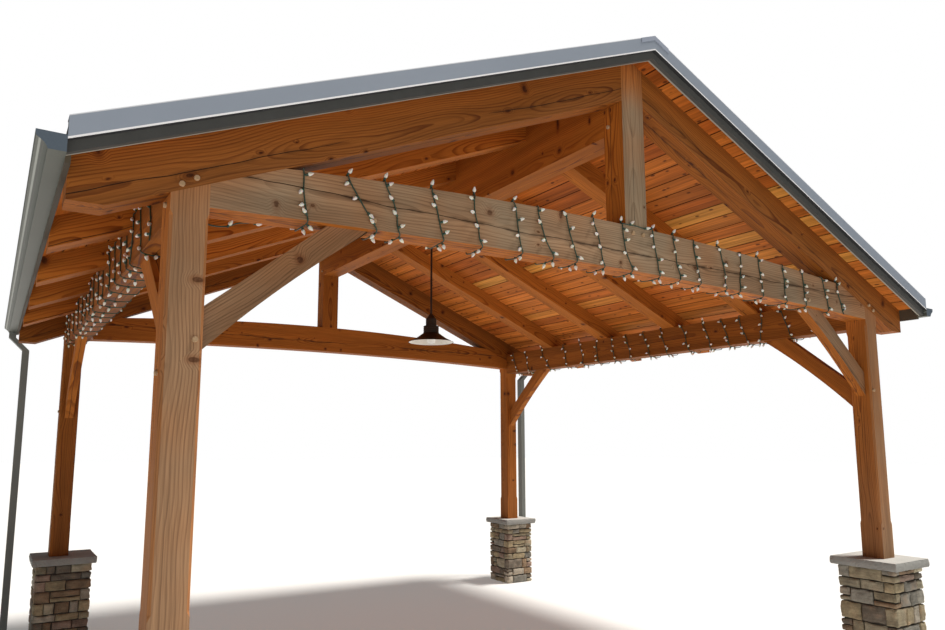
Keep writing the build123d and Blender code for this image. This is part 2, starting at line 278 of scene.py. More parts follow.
def group(name, inputs, outputs):
    """Node group; its sockets are floats, but for the vector `Grain` and the colour `Color`."""
    sh = Nodes(bpy.data.node_groups.new(name, "ShaderNodeTree"))
    kinds = {"Grain": "Vector", "Color": "Color"}
    for in_out, labels in (("INPUT", inputs), ("OUTPUT", outputs)):
        for label in labels:
            kind = f"NodeSocket{kinds.get(label, 'Float')}"
            sh.tree.interface.new_socket(label, in_out=in_out, socket_type=kind)
    new = sh.tree.nodes.new
    return sh, new("NodeGroupInput").outputs, new("NodeGroupOutput")


# Fir: rings round a pith that wanders, knots, fibres, checks, and grey weathering
fresh_early, fresh_late = (0.49, 0.154, 0.022), (0.19, 0.042, 0.005)
grey_early, grey_late = (0.365, 0.265, 0.170), (0.25, 0.160, 0.092)
knot_colour, knot_halo = (0.060, 0.018, 0.007), (0.19, 0.046, 0.010)
check_colour = (0.040, 0.020, 0.011)
ring_step = 0.011
slow_wander, quick_wander, knot_wander, check_wander = 0.110, 0.012, 0.02, 0.028
knots_per_metre, knots_per_radian = 6.0, 0.9
knot_rarity = 0.77
knot_swell = 0.030
check_width = 0.0020
check_share = 0.9
fir_shine = 0.12
fir_relief = 0.0012
late_relief, fibre_relief, check_relief = 0.3, 0.4, 2.5
like_timber_shift = 7.3
tiny = 1e-5
# Noise by (scale along the grain and across it, detail, roughness)
slow_noise, quick_noise = ((1.1, 1.6, 1.6), 1.0), ((3.5, 9.0, 9.0), 2.0)
patch_noise, stretch_noise = ((1.1, 6.0, 6.0), 2.0), ((0.55, 0.6, 0.6), 2.0)
streak_noise, tangle_noise = ((0.45, 9.0, 9.0), 3.0), ((6.0, 40.0, 40.0), 3.0)
fibre_noise, grit_noise = ((5.0, 230.0, 230.0), 2.0, 0.6), ((60.0, 60.0, 60.0), 2.0)
weather_noise = (1.7, 3.0)
# Fades by (from, to) and the values there, or 0 and 1
ring_rise, ring_fall = (0.42, 0.90), (0.94, 1.0, 1.0, 0.0)
year_fade, patch_fade = (0.0, 1.0, 0.4, 1.0), (0.25, 0.7, 0.55, 1.0)
knot_size_fade, knot_swell_fade = (0.0, 1.0, 0.4, 1.1), (0.06, 0.42, 1.0, 0.0)
halo_reach, halo_by_weather = (0.09, 0.26), (0.0, 1.0, 0.65, 0.28)
heart_reach, heart_by_weather = (0.075, 0.115), (0.0, 1.0, 0.9, 0.7)
streak_fade, fibre_fade = (0.3, 0.72, 0.80, 1.16), (0.3, 0.7, 0.86, 1.10)
grit_fade, tangle_fade = (0.3, 0.6, 0.6, 1.0), (0.45, 0.62)
check_fade, check_edge, stain_edge = (0.45, 0.58), (0.6, 1.2, 1.0, 0.0), (1.0, 9.0, 5.0, 0.0)
roughness_fade = (0.0, 1.0, 0.66, 0.55)
outward_fade, shelter_fade = (0.5, 0.9), (0.05, 0.42, 0.2, 1.0)
foot_fade, weather_fade = (1.0, 2.4, 1.0, 0.15), (0.25, 0.75, 0.62, 1.12)


def wander(sh, place, scale, detail):
    """Noise from -0.5 to 0.5 on each axis."""
    return sh.vector("SUBTRACT", sh.noise(place, scale, detail, output=1), (0.5, 0.5, 0.5))


def find_knots(sh, grain, quick, shift):
    """Distance from the nearest knot over its size, and that size, 0 where a cell has none."""
    branch = sh.xyz(sh.vector("ADD", grain, sh.scaled(quick, (knot_wander,) * 3)))
    angle = sh.calc("ARCTAN2", branch[1], sh.product(branch[2], -1.0))
    spread = sh.combined(sh.product(sh.calc("ADD", branch[0], shift), knots_per_metre),
                         sh.product(angle, knots_per_radian))
    cells = sh.cells(spread, voronoi_dimensions="2D")
    pick = sh.rgb(cells["Color"])
    size = sh.product(sh.calc("GREATER_THAN", pick[0], knot_rarity),
                      sh.fade(pick[1], *knot_size_fade))
    return sh.calc("DIVIDE", cells["Distance"], sh.calc("ADD", size, 0.001)), size


def find_late_wood(sh, radius, place, shift):
    """Dark late wood of the rings, each year of its own strength, patchy along the timber."""
    count = sh.calc("DIVIDE", radius, ring_step)
    ring = sh.calc("FRACT", count)
    seed = sh.calc("ADD", sh.calc("FLOOR", count), shift)
    year = sh.node("TexWhiteNoise", {"W": seed}, noise_dimensions="1D").outputs[0]
    patch = sh.noise(place, *patch_noise)
    return sh.product(sh.fade(ring, *ring_rise), sh.fade(ring, *ring_fall),
                      sh.fade(year, *year_fade), sh.fade(patch, *patch_fade))


def find_checks(sh, grain, quick, place, opened):
    """Checks on the two planes through the pith, and the stain beside them."""
    bend = sh.scaled(quick, (0.0, check_wander, check_wander))
    axes = sh.xyz(sh.vector("ADD", grain, bend))
    stretch = sh.rgb(sh.noise(place, *stretch_noise, output=1))
    tangle = sh.fade(sh.noise(place, *tangle_noise), *tangle_fade)
    lines, stains = [], []
    for axis, share in ((axes[1], stretch[0]), (axes[2], stretch[1])):
        width = sh.product(sh.fade(sh.calc("ADD", share, opened), *check_fade), check_width)
        off = sh.calc("DIVIDE", sh.calc("ABSOLUTE", axis), sh.calc("ADD", width, tiny))
        lines.append(sh.fade(off, *check_edge))
        stains.append(sh.product(sh.fade(off, *stain_edge), sh.product(opened, tangle)))
    return sh.calc("MAXIMUM", *lines), sh.calc("MAXIMUM", *stains)


def make_fir_group():
    sh, given, out = group("fir_grain", ("Grain", "Weather", "Shift", "Tone", "Split"),
                           ("Color", "Height", "Roughness"))
    grain, weather = given["Grain"], given["Weather"]
    place = sh.vector("ADD", grain, sh.combined(given["Shift"]))
    slow = wander(sh, place, *slow_noise)
    quick = wander(sh, place, *quick_noise)
    bend = sh.vector("ADD", sh.scaled(slow, (0.0, slow_wander, slow_wander)),
                     sh.scaled(quick, (0.0, quick_wander, quick_wander)))
    cross = sh.scaled(sh.vector("ADD", grain, bend), (0.0, 1.0, 1.0))
    near_knot, size = find_knots(sh, grain, quick, given["Shift"])
    swell = sh.product(sh.fade(near_knot, *knot_swell_fade), size, knot_swell)
    radius = sh.calc("ADD", sh.vector("LENGTH", cross), swell)
    late = find_late_wood(sh, radius, place, given["Shift"])
    fibre = sh.noise(place, *fibre_noise)
    streak = sh.noise(place, *streak_noise)
    grit = sh.noise(place, *grit_noise)
    check, stain = find_checks(sh, grain, quick, place, given["Split"])

    colour = sh.mix(weather, sh.mix(late, fresh_early, fresh_late),
                    sh.mix(late, grey_early, grey_late))
    colour = sh.shaded(colour, sh.fade(streak, *streak_fade))
    colour = sh.shaded(colour, sh.fade(fibre, *fibre_fade))
    halo = sh.fade(near_knot, *halo_reach, sh.fade(weather, *halo_by_weather), 0.0)
    colour = sh.mix(halo, colour, knot_halo)
    heart = sh.fade(near_knot, *heart_reach, sh.fade(weather, *heart_by_weather), 0.0)
    colour = sh.mix(sh.product(heart, sh.fade(grit, *grit_fade)), colour, knot_colour)
    colour = sh.mix(stain, colour, check_colour)
    colour = sh.mix(sh.product(check, check_share), colour, check_colour)

    height = sh.calc("ADD", sh.product(late, late_relief), sh.product(fibre, fibre_relief))
    height = sh.calc("SUBTRACT", height, sh.product(check, check_relief))
    sh.plug(out, {"Color": sh.shaded(colour, given["Tone"]), "Height": height,
                  "Roughness": sh.fade(late, *roughness_fade)})
    return sh.tree


def levelled(sh, spot):
    """Height of a place with the roof's fall down to it added."""
    return sh.calc("ADD", spot[2], sh.product(sh.calc("ABSOLUTE", spot[0]), roof_slope))


def make_weather_group():
    """How grey a timber is: a bent's outer face most, less near the roof, and a post's foot."""
    sh, given, out = group("weathering", ("Face", "Foot"), ("Weather",))
    place = sh.place()
    spot = sh.xyz(place)
    outward = sh.product(sh.normal()[1], sh.calc("SIGN", spot[1]))
    under_roof = sh.calc("SUBTRACT", ridge_z, levelled(sh, spot))
    facing = sh.product(sh.fade(outward, *outward_fade), given["Face"],
                        sh.fade(under_roof, *shelter_fade))
    foot = sh.product(sh.fade(spot[2], *foot_fade), given["Foot"])
    patchy = sh.fade(sh.noise(place, *weather_noise), *weather_fade)
    sh.plug(out, {"Weather": sh.product(sh.calc("MAXIMUM", facing, foot), patchy)})
    return sh.tree


fir_group = make_fir_group()
weather_group = make_weather_group()


def fir(name, turn, pith, shift, face=0.0, foot=0.0, tone=1.0, split=0.0, mirror=(),
        repeat=0.0):
    """Fir with its grain along X once the place is turned by `turn`, and its pith at `pith`.

    `mirror` names axes whose two halves share the pith; `repeat` is the step of like timbers.
    """
    sh = Look(name)
    place = sh.place()
    if mirror or repeat:
        parts = list(sh.xyz(place))
        for axis in mirror:
            parts[axis] = sh.calc("ABSOLUTE", parts[axis])
        if repeat:
            index = sh.calc("FLOOR", sh.calc("DIVIDE", parts[1], repeat))
            middle = sh.product(sh.calc("ADD", index, 0.5), repeat)
            parts[1] = sh.calc("SUBTRACT", parts[1], middle)
            shift = sh.calc("MULTIPLY_ADD", index, like_timber_shift, shift)
        place = sh.combined(*parts)
    grain = sh.node("VectorRotate", {"Vector": place, "Rotation": turn},
                    rotation_type="EULER_XYZ").outputs[0]
    weather = sh.node("Group", {"Face": face, "Foot": foot}, node_tree=weather_group)
    made = sh.node("Group", {
        "Grain": sh.vector("SUBTRACT", grain, (0.0, *pith)), "Weather": weather.outputs[0],
        "Shift": shift, "Tone": tone, "Split": split}, node_tree=fir_group).outputs
    return sh.finish(made["Color"], made["Roughness"], made["Height"], fir_relief, shine=fir_shine)


# Timbers: the turn that brings each one's grain along X, where its pith lies, and how worn it is
along_x = (0.0, 0.0, 0.0)
along_y = (0.0, 0.0, -pi / 2)
along_z = (0.0, pi / 2, 0.0)
tie_brace_lean = atan(0.640 / 0.780)
plate_brace_lean = atan(0.670 / 0.780)
plate_brace_middle = (-1.95, 2.40)
rafter_axis, common_axis, plate_axis = -0.11, -0.07, 0.13
post_axis_x, post_axis_y = half_width - post_side / 2, half_depth - post_side / 2
pith_drift = 0.02
# Tones: the rear bent's 0.8 is painted shade; the posts' tones are painted light and shade, the
# front left lighter, the rear left darker
bent_wear = {"front": 1.0, "rear": 0.5}
bent_painted_shade = {"front": 1.0, "rear": 0.8}
post_wear = {"front": 1.0, "rear": 0.3}
post_painted_light_tones = {"front_left": 1.06, "front_right": 0.96, "rear_left": 0.68, "rear_right": 0.88}


def dress(material, *names):
    """Puts a material on CAD nodes."""
    for name in names:
        nodes[name].data.materials.clear()
        nodes[name].data.materials.append(material)


def dress_timber(name, turn, pith=(0.01, 0.015), at=None, **looks):
    """Gives a CAD timber its own fir, the pith `pith` from the middle, as seen along the grain."""
    low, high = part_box(name)
    middle = [(a + b) / 2 for a, b in zip(low, high)]
    seen = Euler(turn, "XYZ").to_matrix() @ Vector(at or middle)
    draw = random.Random(name)
    shift = draw.uniform(-40, 40)
    drift = [draw.uniform(-pith_drift, pith_drift) for _ in range(2)]
    heart = (seen.y + pith[0] + drift[0], seen.z + pith[1] + drift[1])
    dress(fir(f"fir_{name}", turn, heart, shift, **looks), name)


def dress_timbers():
    for end, along in ends.items():
        wear, shade = bent_wear[end], bent_painted_shade[end]
        dress_timber(f"tie_{end}", along_x, (0.0, -0.01), face=0.95 * wear, tone=0.98 * shade,
                     split=0.12)
        dress_timber(f"king_post_{end}", along_z, face=wear, tone=0.9 * shade)
        for side, across in sides.items():
            dress_timber(f"post_{end}_{side}", along_z, (0.02, 0.10), face=0.65 * post_wear[end],
                         foot=0.35 * post_wear[end], tone=post_painted_light_tones[f"{end}_{side}"])
            x = across * half_width / 2
            middle = (x, along * post_axis_y, slope_z(x, rafter_axis))
            dress_timber(f"rafter_{end}_{side}", (0.0, -across * pitch, 0.0), (0.0, -0.06), middle,
                         face=0.24 * wear, tone=0.64 * shade, split=0.06)
    for side, across in sides.items():
        x = across * half_width / 2
        dress_timber(f"common_rafters_{side}", (0.0, -across * pitch, 0.0), (0.02, -0.05),
                     (x, 0.0, slope_z(x, common_axis)), tone=0.92, repeat=rafter_step)
        dress_timber(f"plate_braces_{side}", (plate_brace_lean, 0.0, -pi / 2), (0.0, 0.0),
                     (across * post_axis_x, *plate_brace_middle), mirror=(1,), foot=0.2, tone=0.9)
        dress_timber(f"brace_tie_{side}", (0.0, -across * tie_brace_lean, 0.0), face=0.75, tone=0.8)
    dress_timber("ridge_beam", along_y, (0.0, -0.2), tone=0.85)
    # The plates' tone 0.6 is painted shade
    dress_timber("plates", along_y, (0.0, 0.0), (post_axis_x, 0.0, plate_low + plate_axis),
                 mirror=(0,), tone=0.6)


# Boards of the roof deck, run level, with V joints; they butt on the rafters' lines
board_cover = 0.1365
board_groove = 0.0045
board_gap = 0.0006
board_roughness, board_relief = 0.6, 0.0006
butts_in_a_row = (0, 1, 1, 2)
bevel_faces = (3, 7)
# Painted shade in the V joints: their bevels are darkened to this share
joint_painted_shade = 0.22
board_early, board_dark = (0.60, 0.180, 0.029), (0.38, 0.092, 0.014)
board_pale = (0.72, 0.33, 0.066)
board_shift = (9.0, 37.0, 13.0)
board_streak_noise, board_broad_noise = ((60.0, 1.3, 60.0), 3.0, 0.6), ((14.0, 0.7, 14.0), 2.0)
board_knot_scale, board_knot_fade = (14.0, 7.0, 14.0), (0.09, 0.19, 0.8, 0.0)
dark_fade, pale_fade = (0.2, 1.0, 0.0, 0.9), (0.87, 0.98, 0.0, 0.8)
board_streak_fade, board_broad_fade = (0.3, 0.7, 0.70, 1.22), (0.3, 0.7, 0.78, 1.15)


def make_deck_material():
    """Boards told apart by the random `tone`: shade, hue and place; alpha is 0 in the joints, whose
    bevels get painted shade.
    """
    sh = Look("fir_boards")
    tone = sh.node("Attribute", attribute_name="tone").outputs
    parts = sh.rgb(tone["Color"])
    moved = sh.vector("ADD", sh.place(), sh.scaled(tone["Color"], board_shift))
    streak = sh.noise(moved, *board_streak_noise)
    broad = sh.noise(moved, *board_broad_noise)
    knots = sh.cells(sh.scaled(moved, board_knot_scale))["Distance"]
    colour = sh.mix(sh.fade(parts[0], *dark_fade), board_early, board_dark)
    colour = sh.mix(sh.fade(parts[1], *pale_fade), colour, board_pale)
    colour = sh.shaded(colour, sh.fade(streak, *board_streak_fade))
    colour = sh.shaded(colour, sh.fade(broad, *board_broad_fade))
    colour = sh.mix(sh.fade(knots, *board_knot_fade), colour, knot_colour)
    # Painted shade on the joints' bevels
    colour = sh.shaded(colour, sh.fade(tone["Alpha"], 0.0, 1.0, joint_painted_shade, 1.0))
    return sh.finish(colour, board_roughness, streak, board_relief, shine=fir_shine)


def make_deck_boards():
    material = make_deck_material()
    length = deck_high[0] / cos(pitch)
    count = round(length / board_cover)
    for name, side in sides.items():
        random.seed(f"boards {name}")
        build = bmesh.new()
        layer = build.loops.layers.float_color.new("tone")
        for row in range(count):
            low, high = row * length / count + board_gap, (row + 1) * length / count - board_gap
            section = [(low + board_groove, 0), (high - board_groove, 0), (high, board_groove),
                       (high, deck_thickness), (low, deck_thickness), (low, board_groove)]
            cuts = sorted(random.sample(rafter_lines[1:-1], random.choice(butts_in_a_row)))
            for start, stop in zip([deck_low[1]] + cuts, cuts + [deck_high[1]]):
                rings = [[(side * run * cos(pitch), y, slope_z(run * cos(pitch), above))
                          for run, above in section]
                         for y in (start + board_gap, stop - board_gap)]
                faces = prism(build, rings)
                tone = [random.random() for _ in range(3)]
                paint(faces, layer, tone)
                paint([faces[i] for i in bevel_faces], layer, tone, 0.0)
        piece = finish_piece(f"deck_boards_{name}", build, material)
        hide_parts(f"deck_{name}")


# Ledge stones of the piers, laid in courses round a core whose dark colour is painted shade in the
# dry joints
stone_depth = 0.085
stone_joint = 0.005
stone_cell = 0.012
stone_arris = 0.014
stone_lengths = (0.07, 0.24)
longest_last_stone = 0.20
course_heights = (0.058, 0.066, 0.074, 0.082, 0.090, 0.102)
course_growth = {"front_left": 1.3, "front_right": 1.3, "rear_left": 1.0, "rear_right": 1.3}
highest_rest, highest_last_course, last_course_share = 0.17, 0.12, 0.45
stacked_from, stacked_chance, stacked_share = 0.080, 0.22, (0.36, 0.62)
core_inset = 0.022
on_face = 0.99
at_corner, flush = 0.01, 0.001
stone_back, stone_proud, stone_round = 0.005, 0.006, 0.008
stone_rough, stone_fine = (14, 0.011), (55, 0.006)
bed_rough = (17, 0.005)
stone_palette = ((0.33, 0.275, 0.18), (0.29, 0.27, 0.225), (0.40, 0.32, 0.195),
                 (0.36, 0.255, 0.195), (0.48, 0.42, 0.33), (0.30, 0.205, 0.125),
                 (0.20, 0.165, 0.125), (0.43, 0.375, 0.265))
stone_light = (0.75, 1.2)
stone_shift = (7.0, 11.0, 5.0)
stone_roughness, stone_relief, stone_swell = 0.86, 0.0035, 1.6
stone_cloud, stone_grit, stone_bed = (14.0, 5.0, 0.62), (170.0, 4.0, 0.65), ((6.0, 6.0, 70.0), 3.0)
stone_cloud_fade, stone_grit_fade = (0.25, 0.75, 0.68, 1.28), (0.3, 0.7, 0.8, 1.15)
stone_bed_fade = (0.3, 0.7, 0.88, 1.08)
rust_noise, rust_fade, rust_colour = (7.0, 3.0), (0.55, 0.75, 0.0, 0.5), (0.34, 0.21, 0.12)
# Core colours: painted shade, seen through the dry joints between the stones
core_painted_shade_dark, core_painted_shade_light = (0.050, 0.044, 0.036), (0.110, 0.098, 0.080)
joint_grain, joint_roughness, joint_relief = (120.0, 4.0, 0.7), 0.95, 0.003


def make_stone_material():
    sh = Look("ledge_stone")
    tone = sh.node("Attribute", attribute_name="tone").outputs["Color"]
    moved = sh.vector("ADD", sh.place(), sh.scaled(tone, stone_shift))
    cloud = sh.noise(moved, *stone_cloud)
    grit = sh.noise(moved, *stone_grit)
    bed = sh.noise(moved, *stone_bed)
    shade = sh.product(sh.fade(cloud, *stone_cloud_fade), sh.fade(grit, *stone_grit_fade),
                       sh.fade(bed, *stone_bed_fade))
    rust = sh.fade(sh.noise(moved, *rust_noise), *rust_fade)
    colour = sh.shaded(sh.mix(rust, tone, rust_colour), shade)
    height = sh.calc("ADD", sh.product(cloud, stone_swell), sh.calc("ADD", grit, bed))
    return sh.finish(colour, stone_roughness, height, stone_relief)


def add_stone(build, layer, low, high, outward, draw):
    """One split-faced stone between two corners: soft arrises, its outer faces rough."""
    size = [b - a for a, b in zip(low, high)]
    verts, faces = box_grid(build, [max(3, round(s / stone_cell)) for s in size])
    shift = Vector([draw.uniform(-50, 50) for _ in range(3)])
    back = stone_back - draw.uniform(0.0, stone_proud)
    open_axes = [axis for axis, _ in outward]
    for vert in verts:
        unit = vert.co.copy()
        spot = Vector([low[i] + size[i] * (unit[i] + 1) / 2 for i in range(3)])
        pull = Vector((0.0, 0.0, 0.0))
        for i, sign in outward:
            if unit[i] * sign > on_face:
                rims = [abs(1 - abs(unit[j])) * size[j] / 2 for j in range(3) if j != i]
                round_off = stone_round * (1 - min(*rims, stone_arris) / stone_arris) ** 2
                rough, fine = [depth * noise.noise(spot * scale + shift)
                               for scale, depth in (stone_rough, stone_fine)]
                pull[i] -= sign * max(0.0, back + round_off + rough + fine)
        scale, depth = bed_rough
        for i in range(3):
            if abs(unit[i]) > on_face and i not in open_axes:
                ragged = 0.5 + noise.noise(spot * scale + shift)
                pull[i] -= (1 if unit[i] > 0 else -1) * depth * max(0.0, ragged)
        vert.co = spot + pull
    base = draw.choice(stone_palette)
    light = draw.uniform(*stone_light)
    paint(faces, layer, [c * light for c in base])
    for face in faces:
        face.smooth = True


def lay_courses(name, low_z, high_z):
    """Heights of the beds between a pier's courses."""
    random.seed(f"pier {name}")
    beds = [low_z]
    while high_z - beds[-1] > highest_rest:
        beds.append(beds[-1] + random.choice(course_heights) * course_growth[name])
    rest = high_z - beds[-1]
    if rest > highest_last_course:
        beds.append(beds[-1] + rest * last_course_share)
    return beds + [high_z]


def lay_stones(run):
    """Where each stone of one course on one face starts and stops."""
    shortest = stone_lengths[0]
    cuts = [0.0]
    while run - cuts[-1] > longest_last_stone:
        cuts.append(cuts[-1] + random.uniform(*stone_lengths))
    if run - cuts[-1] < shortest and len(cuts) > 1:
        cuts.pop()
    cuts.append(run)
    return zip(cuts, cuts[1:])


def make_pier(name, material, core_painted_shade_material):
    low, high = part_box(f"pier_{name}")
    beds = lay_courses(name, low[2], high[2])
    build = bmesh.new()
    layer = build.loops.layers.float_color.new("tone")
    draw = random.Random(f"stones {name}")
    side = high[0] - low[0]
    joint = stone_joint / 2
    for level, (bottom, top) in enumerate(zip(beds, beds[1:])):
        for face in range(4):
            for start, stop in lay_stones(side - stone_depth):
                if level % 2:
                    start, stop = side - stop, side - start
                a = start + (joint if start > at_corner else 0)
                b = stop - (joint if stop < side - at_corner else 0)
                spans = (((low[0] + a, low[0] + b), (low[1], low[1] + stone_depth), (1, -1), 0),
                         ((high[0] - stone_depth, high[0]), (low[1] + a, low[1] + b), (0, 1), 1),
                         ((high[0] - b, high[0] - a), (high[1] - stone_depth, high[1]), (1, 1), 0),
                         ((low[0], low[0] + stone_depth), (high[1] - b, high[1] - a), (0, -1), 1))
                (x0, x1), (y0, y1), front, run_axis = spans[face]
                outward = [front]
                if (x0, y0)[run_axis] - low[run_axis] < flush:
                    outward.append((run_axis, -1))
                if high[run_axis] - (x1, y1)[run_axis] < flush:
                    outward.append((run_axis, 1))
                levels = [bottom, top]
                if top - bottom > stacked_from and draw.random() < stacked_chance:
                    levels.insert(1, bottom + (top - bottom) * draw.uniform(*stacked_share))
                for under, over in zip(levels, levels[1:]):
                    add_stone(build, layer, (x0, y0, under + joint), (x1, y1, over - joint),
                              outward, draw)
    piece = finish_piece(f"stones_{name}", build, material)
    core = bmesh.new()
    x0, y0 = low[0] + core_inset, low[1] + core_inset
    x1, y1 = high[0] - core_inset, high[1] - core_inset
    prism(core, [[(x0, y0, z), (x1, y0, z), (x1, y1, z), (x0, y1, z)] for z in (low[2], high[2])])
    fill = finish_piece(f"pier_core_{name}", core, core_painted_shade_material)
    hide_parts(f"pier_{name}")
    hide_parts(f"pier_{name}")


def make_piers():
    stone = make_stone_material()
    joint = mottled("core_painted_shade", joint_grain, core_painted_shade_dark, core_painted_shade_light, joint_roughness,
                    joint_relief)
    for name in corners:
        make_pier(name, stone, joint)


# Cap stones: sawn top, rock-faced edges
cap_thickness = 0.060
cap_overhang = 0.040
cap_cells = (44, 44, 6)
cap_least_cut = 0.001
cap_rough, cap_fine = (22, 0.010), (70, 0.009)
cap_belly, cap_bulge = 0.55, 0.45
cap_dark, cap_light = (0.30, 0.30, 0.285), (0.50, 0.49, 0.455)
cap_roughness, cap_relief, cap_swell = 0.8, 0.0015, 2.0
cap_cloud, cap_grit = (5.0, 5.0, 0.6), (240.0, 3.0, 0.7)
cap_grit_fade, cap_painted_top_light = (0.3, 0.7, 0.85, 1.1), (0.5, 0.9, 0.85, 1.35)


def make_cap_material():
    """Grey stone with painted light: lighter on top, darker on the sides."""
    sh = Look("cap_stone")
    place = sh.place()
    cloud = sh.noise(place, *cap_cloud)
    grit = sh.noise(place, *cap_grit)
    colour = sh.shaded(sh.mix(cloud, cap_dark, cap_light), sh.fade(grit, *cap_grit_fade))
    # Painted light: the top lighter, the rock-faced sides darker
    colour = sh.shaded(colour, sh.fade(sh.normal()[2], *cap_painted_top_light))
    height = sh.calc("ADD", grit, sh.product(cloud, cap_swell))
    return sh.finish(colour, cap_roughness, height, cap_relief)


def make_caps():
    build = bmesh.new()
    for name in corners:
        low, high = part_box(f"pier_{name}")
        x, y = (low[0] + high[0]) / 2, (low[1] + high[1]) / 2
        half = (high[0] - low[0]) / 2 + cap_overhang
        for vert in box_grid(build, cap_cells)[0]:
            unit = vert.co.copy()
            spot = Vector((x + unit.x * half, y + unit.y * half,
                           high[2] + cap_thickness * (unit.z + 1) / 2))
            rough, fine = [depth * (0.5 + 0.5 * noise.noise(spot * scale))
                           for scale, depth in (cap_rough, cap_fine)]
            belly = cap_belly + cap_bulge * abs(unit.z) ** 2
            for i in range(2):
                if abs(unit[i]) > on_face:
                    spot[i] -= (1 if unit[i] > 0 else -1) * (cap_least_cut + rough + fine) * belly
            vert.co = spot
    piece = finish_piece("cap_stones", build, make_cap_material())
    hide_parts("pier_caps")


# Pegs of the joints, by (x, z) on a bent's face or (inset, z) on the sides of posts
peg_radius = 0.0125
peg_sections = ((-0.01, peg_radius), (0.009, peg_radius), (0.012, peg_radius * 0.8))
peg_count = 12
tie_end_pegs = ((2.708, 2.878), (2.649, 2.915))
brace_pegs = ((1.812, 2.868), (2.625, 2.226))
king_post_foot_pegs = ((-0.034, 3.092), (0.054, 3.092))
post_side_pegs = ((0.075, 2.087), (0.08, 2.80), (0.08, 2.90))
king_post_side_peg = (0.12, 3.81)
peg_dark, peg_light = (0.34, 0.20, 0.10), (0.55, 0.38, 0.22)
peg_grain, peg_roughness = (120.0, 3.0), 0.6


def make_pegs():
    spots = []
    king_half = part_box("king_post_front")[1][0]
    side_pegs = [(half_width, *peg) for peg in post_side_pegs] + [(king_half, *king_post_side_peg)]
    for end, along in ends.items():
        on_bent = tie_end_pegs + (brace_pegs if end == "front" else ())
        for across in sides.values():
            for x, z in on_bent:
                spots.append(((across * x, along * half_depth, z), (0, along, 0)))
            for x, inset, z in side_pegs:
                spots.append(((across * x, along * (half_depth - inset), z), (across, 0, 0)))
        for x, z in king_post_foot_pegs:
            spots.append(((x, along * half_depth, z), (0, along, 0)))
    build = bmesh.new()
    for place, outward in spots:
        prism(build, round_rings(place, outward, peg_sections, peg_count))
    material = mottled("oak_peg", peg_grain, peg_dark, peg_light, peg_roughness)
    finish_piece("joint_pegs", build, material)


# Light strings: the same turns as the solids, with the cord's slack and the bulbs. A turn says,
# in mm, where the cord is at the near face's top and bottom, on a plate from a rafter's line
cord_radius = 0.0034
cord_off = 0.0085
cord_off_middle = 0.0045
cord_sway, cord_lean = 0.013, 0.018
cord_droop, cord_stray = 0.010, 0.01
face_shares = (0.0, 0.12, 0.38, 0.66, 0.88, 1.0)
under_shares, bulb_shares = (0.2, 0.5, 0.8), (0.1, 0.45)
bulb_off, bulb_under, bulb_over = 0.008, 0.012, 0.010
bulb_tilt, bulb_out, bulb_nod = (0.5, 1.1), 0.25, 0.9
top_bulb_chance = 0.4
socket_profile = ((0.0, 0.0035), (0.005, 0.0062), (0.016, 0.0066))
bulb_profile = ((0.0155, 0.0066), (0.021, 0.0098), (0.029, 0.0088), (0.038, 0.0050),
                (0.043, 0.0014))
socket_sides, bulb_sides = 8, 7
cord_colour, bulb_colour = (0.022, 0.055, 0.035, 1.0), (0.74, 0.72, 0.65, 1.0)
tie_under_camber, tie_top_camber = 0.056, 0.125
tie_turns = ((-2180, -2149), (-1955, -1795), (-1756, -1669), (-1486, -1412), (-1218, -1168),
             (-965, -899), (-788, -676), (-595, -502), (-368, -279), (-127, -52), (136, 197),
             (331, 382), (527, 587), (780, 854), (1017, 993), (1207, 1253), (1502, 1537),
             (1737, 1773), (1983, 2060), (2198, 2265))
plate_turns = ((5, -235, -325), (5, -478, -577), (4, 144, -21), (4, -269, -335), (3, 399, 320),
               (3, 101, 71), (3, -139, -187), (3, -342, -407), (2, 349, 263), (2, 115, 33),
               (2, -159, -258), (2, -417, -508), (1, 327, 232), (1, 117, 28), (1, -119, -81),
               (1, -311, -399), (0, 400, 315))
# Loose runs as (x, z), from the first turn's foot, from the post's face and from the tie's top
loose_from_turn = ((-0.14, 0.050), (-0.20, -0.004), (-0.27, -0.010), (-0.32, -0.042))
loose_at_post = ((0.02, -0.046), (-0.02, -0.010))
loose_past_king_post = ((-0.125, 0.004), (-0.07, 0.0), (-0.01, 0.006), (0.06, -0.002),
                        (0.135, 0.004))


def add_spline(curve, points):
    spline = curve.splines.new("NURBS")
    spline.points.add(len(points) - 1)
    for point, place in zip(spline.points, points):
        point.co = (*place, 1.0)
    spline.use_endpoint_u = True
    spline.order_u = 3


def swing(reach):
    return random.uniform(-reach, reach)


